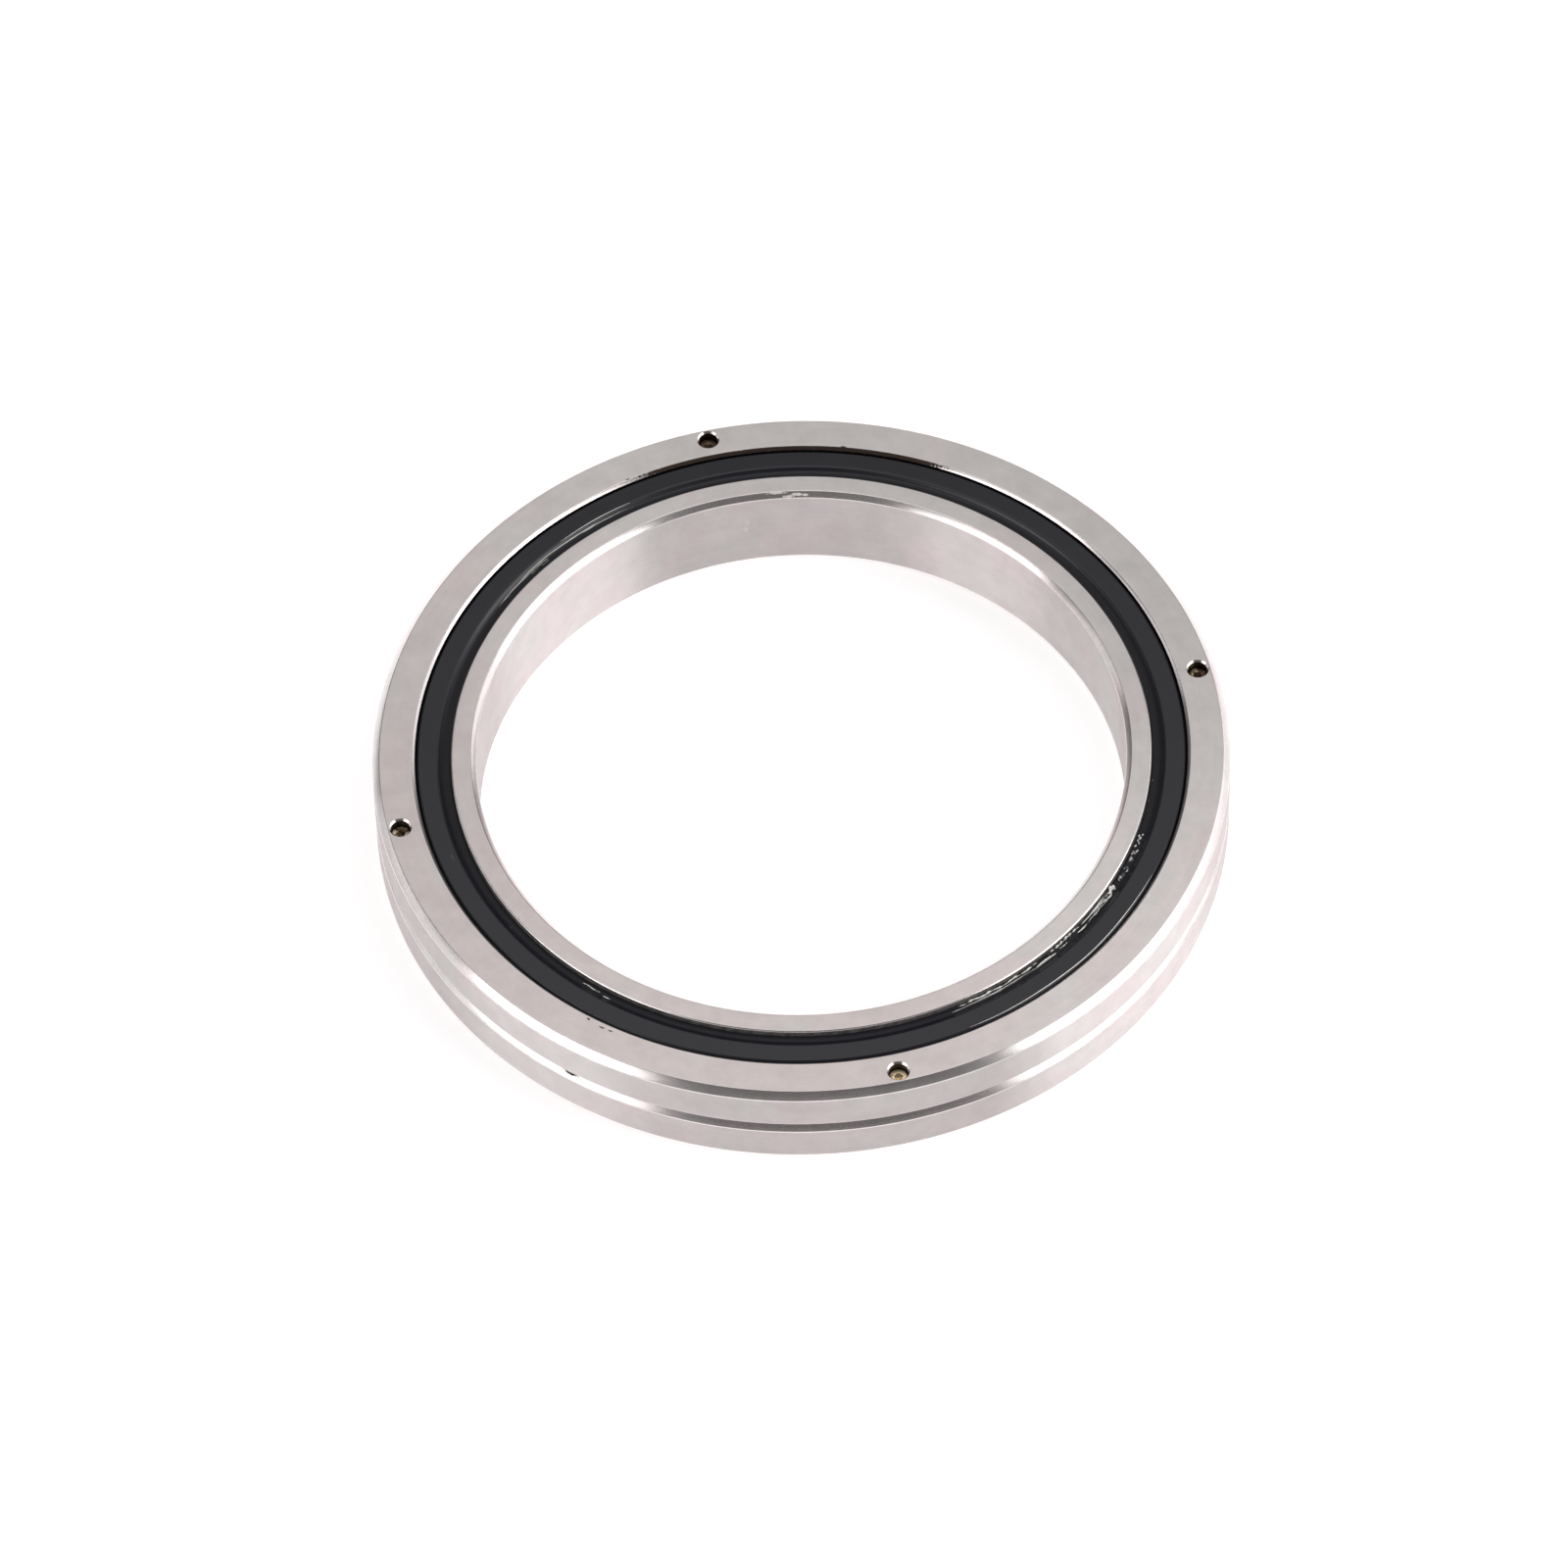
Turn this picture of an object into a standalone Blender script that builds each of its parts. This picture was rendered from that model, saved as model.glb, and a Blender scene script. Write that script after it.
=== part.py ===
"""A thin-section crossed roller bearing with a split outer ring.

Every ring is turned about the Z axis. The bearing stands on its lower faces, with the
origin at the centre of the bore in that plane. Heights in the section are measured from
the mid plane, because the two halves of the bearing mirror each other there.
"""

import math

import bmesh
import bpy
from mathutils import Matrix, Vector

MM = 0.001

# Rings: the bore, the width, and the radial walls from the bore outwards.
# They give an outside diameter of 66 mm.
BORE_DIAMETER = 50.0 * MM
BEARING_WIDTH = 8.0 * MM
INNER_FACE_WIDTH = 1.95 * MM
SEAL_GAP_WIDTH = 2.75 * MM
OUTER_FACE_WIDTH = 3.3 * MM
SHOULDER_GAP = 1.0 * MM
SEAL_POCKET_DEPTH = 1.15 * MM
GROOVE_RELIEF_WIDTH = 0.3 * MM
SEAM_GAP = 0.04 * MM

# Edges broken on the rings
BORE_CHAMFER = 0.4 * MM
OUTSIDE_CHAMFER = 0.55 * MM
SEAM_CHAMFER = 0.5 * MM
LAND_CHAMFER = 0.1 * MM
POCKET_CHAMFER = 0.2 * MM

# Rollers, tilted one way and the other by turns. Their ends clear the flank that
# carries their neighbours by half of the end play.
ROLLER_COUNT = 40
ROLLER_DIAMETER = 3.0 * MM
ROLLER_END_PLAY = 0.1 * MM
ROLLER_CHAMFER = 0.15 * MM
ROLLER_TILT = math.radians(45.0)
RACEWAY_CLEARANCE = 0.04 * MM

# Cage: a band between the shoulders with a window for each roller
CAGE_SHOULDER_CLEARANCE = 0.1 * MM
CAGE_POCKET_CLEARANCE = 0.06 * MM

# Seals: a flat band, a step down and a lip that runs on the inner ring
SEAL_RECESS = 0.2 * MM
SEAL_SEAT_CLEARANCE = 0.05 * MM
SEAL_EDGE_ROUND = 0.15 * MM
SEAL_BAND_WIDTH = 1.75 * MM
SEAL_STEP_DEPTH = 0.28 * MM
SEAL_HEEL_HEIGHT = 0.25 * MM
SEAL_LIP_FALL = 0.12 * MM
SEAL_LIP_THICKNESS = 0.3 * MM
SEAL_LIP_CLEARANCE = 0.04 * MM

# Rivets and their holes
RIVET_COUNT = 4
RIVET_EDGE_DISTANCE = 1.5 * MM
RIVET_START_ANGLE = math.radians(12.0)
HOLE_MOUTH_DIAMETER = 1.75 * MM
COUNTERBORE_DIAMETER = 1.5 * MM
SHANK_DIAMETER = 0.8 * MM
HEAD_THICKNESS = 0.5 * MM
RIVET_RECESS = 0.75 * MM
DIMPLE_DIAMETER = 0.6 * MM
DIMPLE_DEPTH = 0.3 * MM
RIVET_CLEARANCE = 0.03 * MM

# Facets of the round pieces
RING_SEGMENTS = 48
ROLLER_SIDES = 10
CAGE_POCKET_SIDES = 8
RIVET_SIDES = 8
SMOOTH_ANGLE = math.radians(30.0)
WELD_DISTANCE = 0.0001 * MM

# Radii and heights that follow from the sizes above
MID_HEIGHT = BEARING_WIDTH / 2
BORE_RADIUS = BORE_DIAMETER / 2
LAND_RADIUS = BORE_RADIUS + INNER_FACE_WIDTH
POCKET_RADIUS = LAND_RADIUS + SEAL_GAP_WIDTH
OUTSIDE_RADIUS = POCKET_RADIUS + OUTER_FACE_WIDTH
PITCH_RADIUS = (LAND_RADIUS + POCKET_RADIUS) / 2
INNER_SHOULDER_RADIUS = PITCH_RADIUS - SHOULDER_GAP / 2
OUTER_SHOULDER_RADIUS = PITCH_RADIUS + SHOULDER_GAP / 2
SHOULDER_HEIGHT = MID_HEIGHT - SEAL_POCKET_DEPTH
RIVET_CIRCLE_RADIUS = OUTSIDE_RADIUS - RIVET_EDGE_DISTANCE
ROLLER_LENGTH = ROLLER_DIAMETER - ROLLER_END_PLAY
GROOVE_DEPTH = (ROLLER_DIAMETER / 2 + RACEWAY_CLEARANCE) * math.sqrt(2)
RACEWAY_HEIGHT = GROOVE_DEPTH - SHOULDER_GAP / 2


def clear_scene():
    for old in list(bpy.data.objects):
        bpy.data.objects.remove(old, do_unlink=True)


def make_material(name, colour, roughness, metallic):
    material = bpy.data.materials.new(name)
    material.use_nodes = True
    surface = material.node_tree.nodes["Principled BSDF"]
    surface.inputs["Base Color"].default_value = (*colour, 1.0)
    surface.inputs["Roughness"].default_value = roughness
    surface.inputs["Metallic"].default_value = metallic
    return material


def concave(radius, segments=RING_SEGMENTS):
    """Corner radius of a faceted hole whose flats lie at the radius."""
    return radius / math.cos(math.pi / segments)


def finish_mesh(bm, name):
    bmesh.ops.recalc_face_normals(bm, faces=bm.faces)
    mesh = bpy.data.meshes.new(name)
    bm.to_mesh(mesh)
    bm.free()
    mesh.shade_smooth()
    mesh.set_sharp_from_angle(angle=SMOOTH_ANGLE)
    return mesh


def turned_mesh(name, profile, segments, closed=True):
    """Turn a profile of (radius, height) points about Z."""
    bm = bmesh.new()
    corners = [bm.verts.new((radius, 0.0, height)) for radius, height in profile]
    edges = [bm.edges.new(pair) for pair in zip(corners, corners[1:])]
    if closed:
        edges.append(bm.edges.new((corners[-1], corners[0])))
    bmesh.ops.spin(
        bm,
        geom=corners + edges,
        cent=(0.0, 0.0, 0.0),
        axis=(0.0, 0.0, 1.0),
        angle=2 * math.pi,
        steps=segments,
        use_merge=True,
    )
    bmesh.ops.remove_doubles(bm, verts=bm.verts, dist=WELD_DISTANCE)
    return finish_mesh(bm, name)


def add_object(name, mesh, material, parent):
    if material is not None:
        mesh.materials.clear()
        mesh.materials.append(material)
    item = bpy.data.objects.new(name, mesh)
    bpy.context.scene.collection.objects.link(item)
    item.parent = parent
    return item


def add_empty(name, parent=None):
    empty = bpy.data.objects.new(name, None)
    bpy.context.scene.collection.objects.link(empty)
    empty.parent = parent
    return empty


def mark_as_cutter(item):
    item.hide_render = True
    item.display_type = "WIRE"


def cut(item, cutter):
    boolean = item.modifiers.new("cut_" + cutter.name, "BOOLEAN")
    boolean.operation = "DIFFERENCE"
    boolean.solver = "EXACT"
    boolean.object = cutter


def flipped(profile):
    """The same profile on the other side of the mid plane."""
    return [(radius, -height) for radius, height in profile]


def inner_ring_profile():
    """Lower half follows the upper one, mirrored at the mid plane."""
    groove_radius = PITCH_RADIUS - GROOVE_DEPTH + GROOVE_RELIEF_WIDTH / 2
    upper = [
        (concave(BORE_RADIUS), MID_HEIGHT - BORE_CHAMFER),
        (concave(BORE_RADIUS) + BORE_CHAMFER, MID_HEIGHT),
        (LAND_RADIUS - LAND_CHAMFER, MID_HEIGHT),
        (LAND_RADIUS, MID_HEIGHT - LAND_CHAMFER),
        (LAND_RADIUS, SHOULDER_HEIGHT),
        (INNER_SHOULDER_RADIUS, SHOULDER_HEIGHT),
        (INNER_SHOULDER_RADIUS, RACEWAY_HEIGHT),
        (groove_radius, GROOVE_RELIEF_WIDTH / 2),
    ]
    return upper + flipped(reversed(upper))


def outer_half_profile():
    """Upper half of the outer ring; its raceway ends at the seam."""
    seam = SEAM_GAP / 2
    return [
        (OUTSIDE_RADIUS - OUTSIDE_CHAMFER, MID_HEIGHT),
        (OUTSIDE_RADIUS, MID_HEIGHT - OUTSIDE_CHAMFER),
        (OUTSIDE_RADIUS, seam + SEAM_CHAMFER),
        (OUTSIDE_RADIUS - SEAM_CHAMFER, seam),
        (concave(PITCH_RADIUS + GROOVE_DEPTH - seam), seam),
        (concave(OUTER_SHOULDER_RADIUS), RACEWAY_HEIGHT),
        (concave(OUTER_SHOULDER_RADIUS), SHOULDER_HEIGHT),
        (concave(POCKET_RADIUS), SHOULDER_HEIGHT),
        (concave(POCKET_RADIUS), MID_HEIGHT - POCKET_CHAMFER),
        (concave(POCKET_RADIUS) + POCKET_CHAMFER, MID_HEIGHT),
    ]


def seal_profile():
    """Upper seal: heel on the outer ring's shoulder, lip towards the inner ring."""
    top = MID_HEIGHT - SEAL_RECESS
    heel = SHOULDER_HEIGHT + SEAL_SEAT_CLEARANCE
    underside = SHOULDER_HEIGHT + SEAL_HEEL_HEIGHT
    edge_radius = POCKET_RADIUS - SEAL_SEAT_CLEARANCE
    step_radius = POCKET_RADIUS - SEAL_BAND_WIDTH
    lip_radius = concave(LAND_RADIUS + SEAL_LIP_CLEARANCE)
    lip_top = top - SEAL_STEP_DEPTH
    return [
        (edge_radius, heel),
        (edge_radius, top - SEAL_EDGE_ROUND),
        (edge_radius - SEAL_EDGE_ROUND, top),
        (step_radius, top),
        (step_radius - SEAL_STEP_DEPTH / 2, lip_top),
        (lip_radius, lip_top - SEAL_LIP_FALL),
        (lip_radius, lip_top - SEAL_LIP_FALL - SEAL_LIP_THICKNESS),
        (OUTER_SHOULDER_RADIUS, underside),
        (concave(OUTER_SHOULDER_RADIUS) + SEAL_HEEL_HEIGHT / 2, heel),
    ]


def hole_profile():
    """Cutter for one rivet hole: shank bore, counterbore and countersunk mouth."""
    overshoot = RIVET_RECESS
    shank = SHANK_DIAMETER / 2 + RIVET_CLEARANCE
    mouth = HOLE_MOUTH_DIAMETER / 2
    bore = COUNTERBORE_DIAMETER / 2
    seat = MID_HEIGHT - RIVET_RECESS - HEAD_THICKNESS - RIVET_CLEARANCE
    upper = [
        (0.0, MID_HEIGHT + overshoot),
        (mouth + overshoot, MID_HEIGHT + overshoot),
        (bore, MID_HEIGHT - (mouth - bore)),
        (bore, seat),
        (shank, seat),
    ]
    return upper + flipped(reversed(upper))


def rivet_profile():
    """Solid shank with a flat head and a shallow dimple at each end."""
    end = MID_HEIGHT - RIVET_RECESS
    head = COUNTERBORE_DIAMETER / 2 - RIVET_CLEARANCE
    upper = [
        (0.0, end - DIMPLE_DEPTH),
        (DIMPLE_DIAMETER / 2, end),
        (head, end),
        (head, end - HEAD_THICKNESS),
        (SHANK_DIAMETER / 2, end - HEAD_THICKNESS),
    ]
    return upper + flipped(reversed(upper))


def cage_profile():
    """Section of the cage's blank, a plain band between the two rings' shoulders."""
    inner = concave(INNER_SHOULDER_RADIUS + CAGE_SHOULDER_CLEARANCE, ROLLER_COUNT)
    outer = OUTER_SHOULDER_RADIUS - CAGE_SHOULDER_CLEARANCE
    rim_height = SHOULDER_HEIGHT - CAGE_SHOULDER_CLEARANCE
    return [(outer, rim_height), (outer, -rim_height), (inner, -rim_height), (inner, rim_height)]


def roller_place(index):
    """Turn and move from the bearing's centre to one roller, tilted by turns."""
    angle = 2 * math.pi * index / ROLLER_COUNT
    tilt = ROLLER_TILT if index % 2 == 0 else -ROLLER_TILT
    around = Matrix.Rotation(angle, 4, "Z")
    out = Matrix.Translation((PITCH_RADIUS, 0.0, 0.0))
    lean = Matrix.Rotation(tilt, 4, "Y")
    return around @ out @ lean


def roller_mesh():
    """Cylinder along its own Z with its two end edges broken."""
    bm = bmesh.new()
    bmesh.ops.create_cone(
        bm,
        cap_ends=True,
        segments=ROLLER_SIDES,
        radius1=ROLLER_DIAMETER / 2,
        radius2=ROLLER_DIAMETER / 2,
        depth=ROLLER_LENGTH,
    )
    rim_edges = [edge for edge in bm.edges if is_level(edge)]
    bmesh.ops.bevel(bm, geom=rim_edges, offset=ROLLER_CHAMFER, segments=1, affect="EDGES")
    return finish_mesh(bm, "roller")


def is_level(edge):
    first, second = edge.verts
    return abs(first.co.z - second.co.z) < WELD_DISTANCE


def pocket_cutter_mesh():
    """One prism for each roller, wider than the roller by the pocket clearance."""
    bm = bmesh.new()
    flats = ROLLER_DIAMETER / 2 + CAGE_POCKET_CLEARANCE
    corners = concave(flats, CAGE_POCKET_SIDES)
    half_facet = Matrix.Rotation(math.pi / CAGE_POCKET_SIDES, 4, "Z")
    for index in range(ROLLER_COUNT):
        bmesh.ops.create_cone(
            bm,
            cap_ends=True,
            segments=CAGE_POCKET_SIDES,
            radius1=corners,
            radius2=corners,
            depth=ROLLER_LENGTH + 2 * CAGE_POCKET_CLEARANCE,
            matrix=roller_place(index) @ half_facet,
        )
    return finish_mesh(bm, "cage_pockets")


def rivet_place(index):
    angle = RIVET_START_ANGLE + 2 * math.pi * index / RIVET_COUNT
    return Vector((math.cos(angle), math.sin(angle), 0.0)) * RIVET_CIRCLE_RADIUS


def build_outer_ring(frame, steel, rubber, brass):
    profile = outer_half_profile()
    upper_mesh = turned_mesh("outer_ring_upper", profile, RING_SEGMENTS)
    lower_mesh = turned_mesh("outer_ring_lower", flipped(profile), RING_SEGMENTS)
    halves = [
        add_object("outer_ring_upper", upper_mesh, steel, frame),
        add_object("outer_ring_lower", lower_mesh, steel, frame),
    ]
    hole_mesh = turned_mesh("rivet_hole", hole_profile(), RIVET_SIDES, closed=False)
    rivet_mesh = turned_mesh("rivet", rivet_profile(), RIVET_SIDES, closed=False)
    for index in range(RIVET_COUNT):
        hole = add_object(f"rivet_hole_{index + 1}", hole_mesh, None, frame)
        mark_as_cutter(hole)
        rivet = add_object(f"rivet_{index + 1}", rivet_mesh, brass, frame)
        for item in (hole, rivet):
            item.location = rivet_place(index)
        for half in halves:
            cut(half, hole)
    upper_seal = turned_mesh("upper_seal", seal_profile(), RING_SEGMENTS)
    lower_seal = turned_mesh("lower_seal", flipped(seal_profile()), RING_SEGMENTS)
    add_object("upper_seal", upper_seal, rubber, frame)
    add_object("lower_seal", lower_seal, rubber, frame)


def build_inner_ring(frame, steel):
    mesh = turned_mesh("inner_ring", inner_ring_profile(), RING_SEGMENTS)
    add_object("inner_ring", mesh, steel, frame)


def build_cage(frame, polymer):
    blank = turned_mesh("cage", cage_profile(), ROLLER_COUNT)
    cage = add_object("cage", blank, polymer, frame)
    pockets = add_object("cage_pockets", pocket_cutter_mesh(), None, frame)
    mark_as_cutter(pockets)
    cut(cage, pockets)


def build_rollers(frame, steel):
    mesh = roller_mesh()
    for index in range(ROLLER_COUNT):
        roller = add_object(f"roller_{index + 1:02d}", mesh, steel, frame)
        roller.matrix_local = roller_place(index)


def main():
    clear_scene()
    ring_steel = make_material("ring_steel", (0.58, 0.55, 0.53), 0.3, 1.0)
    roller_steel = make_material("roller_steel", (0.66, 0.66, 0.67), 0.15, 1.0)
    rubber = make_material("seal_rubber", (0.03, 0.031, 0.034), 0.5, 0.0)
    polymer = make_material("cage_polymer", (0.72, 0.68, 0.56), 0.45, 0.0)
    brass = make_material("rivet_brass", (0.66, 0.5, 0.24), 0.35, 1.0)

    centre = add_empty("bearing_centre")
    centre.location = (0.0, 0.0, MID_HEIGHT)
    inner_axis = add_empty("inner_ring_axis", centre)
    cage_axis = add_empty("cage_axis", centre)

    build_outer_ring(centre, ring_steel, rubber, brass)
    build_inner_ring(inner_axis, ring_steel)
    build_cage(cage_axis, polymer)
    build_rollers(cage_axis, roller_steel)


main()
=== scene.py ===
"""Looks of the crossed roller bearing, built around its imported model.

Fine meshes stand for the faceted solids and carry the finishes. They have the same sizes, apart
from the chamfers beside the seals and the seals' softer step. Profiles are in millimetres, as
(radius, height above the mid plane), and turn about the Z axis.
"""

import math
import random

import bmesh
import bpy
from mathutils import Matrix, Vector


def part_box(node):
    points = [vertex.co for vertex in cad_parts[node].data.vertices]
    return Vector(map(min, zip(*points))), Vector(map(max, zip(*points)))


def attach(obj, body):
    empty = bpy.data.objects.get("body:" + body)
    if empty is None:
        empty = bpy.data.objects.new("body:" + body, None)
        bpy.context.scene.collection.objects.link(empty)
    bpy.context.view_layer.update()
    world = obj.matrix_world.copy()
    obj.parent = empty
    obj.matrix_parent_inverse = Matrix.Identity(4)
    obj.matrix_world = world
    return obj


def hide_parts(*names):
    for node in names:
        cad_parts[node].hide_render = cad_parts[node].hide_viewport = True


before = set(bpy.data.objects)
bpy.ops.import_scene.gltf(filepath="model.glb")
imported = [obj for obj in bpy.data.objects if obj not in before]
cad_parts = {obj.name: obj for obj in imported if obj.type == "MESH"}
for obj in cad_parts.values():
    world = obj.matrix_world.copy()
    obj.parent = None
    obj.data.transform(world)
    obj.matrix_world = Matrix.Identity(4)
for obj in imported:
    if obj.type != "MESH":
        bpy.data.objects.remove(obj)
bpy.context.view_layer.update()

MM = 0.001


def high_corner(node):
    """Highest corner of a CAD node's box, in millimetres."""
    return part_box(node)[1] / MM


def middle(node):
    """Middle of a CAD node's box, in metres."""
    low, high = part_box(node)
    return (low + high) / 2


# Sizes read from the frame
HALF_WIDTH = high_corner("inner_ring").z / 2
OUTSIDE_RADIUS = high_corner("outer_ring_upper").x
INNER_SHOULDER_RADIUS = high_corner("inner_ring").x
SEAL_RADIUS = high_corner("upper_seal").x
SEAL_TOP = high_corner("upper_seal").z - HALF_WIDTH
SEAL_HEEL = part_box("upper_seal")[0].z / MM - HALF_WIDTH
RIVET_END = high_corner("rivet_1").z - HALF_WIDTH
ROLLER_COUNT = sum(name.startswith("roller_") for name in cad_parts)
RIVET_COUNT = sum(name.startswith("rivet_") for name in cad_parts)
PITCH_RADIUS = middle("roller_01").xy.length / MM

# Section of the rings
BORE_RADIUS = 25.0
LAND_RADIUS = 26.95
OUTER_SHOULDER_RADIUS = 28.825
POCKET_RADIUS = 29.7
SHOULDER_HEIGHT = 2.85
RACEWAY_HEIGHT = 1.678
SEAM_HEIGHT = 0.02
RELIEF_HEIGHT = 0.15
BORE_CHAMFER = 0.4
OUTSIDE_CHAMFER = 0.55
SEAM_CHAMFER = 0.5
LAND_CHAMFER = 0.1
POCKET_CHAMFER = 0.22
EDGE_ROUND = 0.05

# Seal: flat band, eased step, cove, and a lip that rises a little towards the inner ring
SEAL_EDGE_CHAMFER = 0.21
SEAL_BAND_WIDTH = 1.75
SEAL_STEP_ROUND = 0.14
STEP_EASE = 0.1
STEP_RUN = 0.17
COVE_DEPTH = 0.24
COVE_RUN = 0.24
LIP_DEPTH = 0.36
LIP_RISE = 0.045
LIP_CLEARANCE = 0.04
LIP_THICKNESS = 0.38
UNDERSIDE_HEIGHT = 3.1
HEEL_CHAMFER = 0.187
STEP_RADIUS = POCKET_RADIUS - SEAL_BAND_WIDTH
LIP_RADIUS = LAND_RADIUS + LIP_CLEARANCE
LIP_TOP = SEAL_TOP - LIP_DEPTH

# Rivets and their holes. The dimple's curve is in shares of its radius and its depth
HOLE_MOUTH_RADIUS = 0.875
COUNTERBORE_RADIUS = 0.75
SHANK_HOLE_RADIUS = 0.43
SHANK_RADIUS = 0.4
RIVET_HEAD_RADIUS = 0.72
RIVET_HEAD_THICKNESS = 0.5
RIVET_EDGE_BREAK = 0.06
DIMPLE_RADIUS = 0.3
DIMPLE_DEPTH = 0.3
DIMPLE_CURVE = ((0.0, 1.0), (0.2, 0.93), (0.92, 0.14), (1.08, 0.0))
SEAT_CLEARANCE = 0.03

# Rollers
ROLLER_RADIUS = 1.5
ROLLER_HALF_LENGTH = 1.45
ROLLER_CHAMFER = 0.15
ROLLER_TILT = math.radians(45.0)

# Fineness and shading of the meshes. A round takes no more than its share of the edges beside it
RING_SEGMENTS = 360
HOLE_SEGMENTS = 48
ROLLER_SEGMENTS = 48
FILLET_STEPS = 3
FILLET_SHARE = 0.45
WELD = 0.0001 * MM
SHARP_ANGLE = math.radians(40.0)
FLAT_FACE_WEIGHT = 100

# Marks of use, and two painted highlights on the bore: azimuth in degrees, radius, height above
# the mid plane, and the reach outward, round the axis and upward
FACE_SPECKS = (
    (236.5, 30.15, 4.0, 0.11, 0.13, 0.3),
    (238.9, 30.33, 4.0, 0.07, 0.26, 0.3),
    (240.3, 30.30, 4.0, 0.06, 0.22, 0.3),
    (115.6, 29.98, 4.0, 0.08, 0.20, 0.3),
    (82.2, 29.96, 4.0, 0.08, 0.24, 0.3),
)
EDGE_DASHES = ((236.3, 32.62, -0.14, 0.16, 0.72, 0.16),)
# A darker band of marks along the pocket chamfer on the far side, azimuth 72 to 108
POCKET_DARK_BAND = tuple((azimuth, 29.78, 3.9, 0.3, 3.4, 0.4) for azimuth in range(72, 112, 6))
# Painted highlights: two pale spots on the bore wall
BORE_GLINTS = ((98.4, 25.0, 0.92, 0.3, 0.22, 0.34), (98.7, 25.0, 0.24, 0.3, 0.22, 0.30))
CHAMFER_STAINS = (
    (93.0, 25.2, 3.93, 0.3, 0.8, 0.08),
    (90.9, 25.2, 3.68, 0.3, 0.5, 0.09),
    (89.3, 25.2, 3.80, 0.3, 0.5, 0.09),
    (87.8, 25.2, 3.77, 0.3, 0.25, 0.08),
)
SEAL_SCUFFS = ((199.2, 28.45, 3.8, 0.06, 0.35, 0.4), (215.4, 27.52, 3.8, 0.09, 0.18, 0.6))

# Colour and roughness of the marks, and their ragged, faded edge
GRIME = ((0.05, 0.036, 0.03, 1.0), 0.6)
SCUFFED_RUBBER = ((0.05, 0.05, 0.052, 1.0), 0.6)
# Pale steel of the stains on the chamfer, also the colour of the painted highlights on the bore
BARE_STEEL_AND_GLINT = ((0.74, 0.71, 0.70, 1.0), 0.65)
MARK_NOISE = (7.0, 3.0, 0.7)
MARK_RAGGEDNESS = (-0.45, 0.45)
MARK_FADE = (0.75, 1.0)

# A streak of grease: steps in a degree, sides round it, taper of its ends, how lumpy it is, and
# how far it sways, as a share of its width
STREAK_STEPS = 8
FEWEST_STEPS = 6
STREAK_SIDES = 8
STREAK_TAPER = 0.6
LUMPINESS = 0.22
EVEN_LUMPINESS = 0.04
THINNEST_LUMP = 0.25
STREAK_SWAY = 0.3
WAVE_COUNT = 3
WAVE_RATES = (2.0, 9.0)
WAVE_STARTS = (0.0, 6.28)

# Grease on the seal, and pale ridges for painted highlights on its rim and its step. Streaks
# and even lines: azimuths, radius, width and height. Patches: azimuths, radii, number of
# streaks, longest one in degrees, widest one, and height as a share of the width
GREASE_SEED = 5
GREASE_STREAKS = (
    (327.5, 329.8, 27.18, 0.32, 0.42),
    (325.2, 328.2, 27.40, 0.16, 0.13),
    (323.0, 328.5, 27.20, 0.10, 0.16),
    (312.0, 320.0, 27.04, 0.10, 0.26),
    (302.5, 311.0, 27.10, 0.12, 0.20),
    (294.0, 304.0, 27.10, 0.12, 0.16),
    (338.8, 339.6, 27.32, 0.10, 0.14),
    (336.9, 337.9, 27.48, 0.14, 0.20),
    (335.1, 336.1, 27.30, 0.12, 0.16),
    (332.7, 333.7, 27.46, 0.13, 0.17),
    (330.8, 332.0, 27.25, 0.16, 0.16),
)
GREASE_AND_GLINT_LINES = (
    (320.0, 328.2, 27.07, 0.09, 0.25),
    (320.4, 326.6, 27.37, 0.10, 0.19),
    (318.2, 321.2, 27.40, 0.12, 0.23),
    (308.4, 313.5, 27.38, 0.13, 0.24),
    (293.0, 310.0, 27.36, 0.09, 0.19),
    # Painted highlight: a pale ridge along the seal's rim edge
    (294.0, 334.0, 29.40, 0.08, 0.035),
    (231.0, 235.0, 27.35, 0.09, 0.16),
    (235.4, 237.0, 27.48, 0.09, 0.15),
    # Grease along the step at the back left, partly painted highlights of the step's edge
    (119.0, 147.0, 27.76, 0.07, 0.21),
    (117.0, 131.0, 27.97, 0.05, 0.03),
    (116.0, 128.0, 27.70, 0.05, 0.17),
    (134.0, 148.0, 27.64, 0.06, 0.19),
)
GREASE_PATCHES = (
    (303.0, 329.0, 27.10, 27.40, 7, 2.5, 0.07, 0.7),
    (330.5, 341.5, 27.08, 27.52, 24, 1.2, 0.13, 0.8),
    (341.0, 353.0, 27.02, 27.15, 6, 0.8, 0.08, 0.8),
    (134.0, 147.0, 27.45, 27.75, 9, 2.5, 0.07, 2.2),
)

# Share of the longest, the widest and the tallest that one streak of a patch takes
PATCH_LENGTHS = (0.35, 1.0)
PATCH_WIDTHS = (0.5, 1.0)
PATCH_HEIGHTS = (0.7, 1.0)

# Finishes of a ring, and the slopes that tell its faces apart
# On the outer ring the recess finish, in the holes and between the rings, is painted shade
FACE, WALL, EDGE, RECESS, HOLE_EDGE = range(5)
LEVEL_RISE = 0.99
UPRIGHT_RISE = 0.05
TINY = 0.01


# ---------------------------------------------------------------- profiles and meshes


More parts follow.
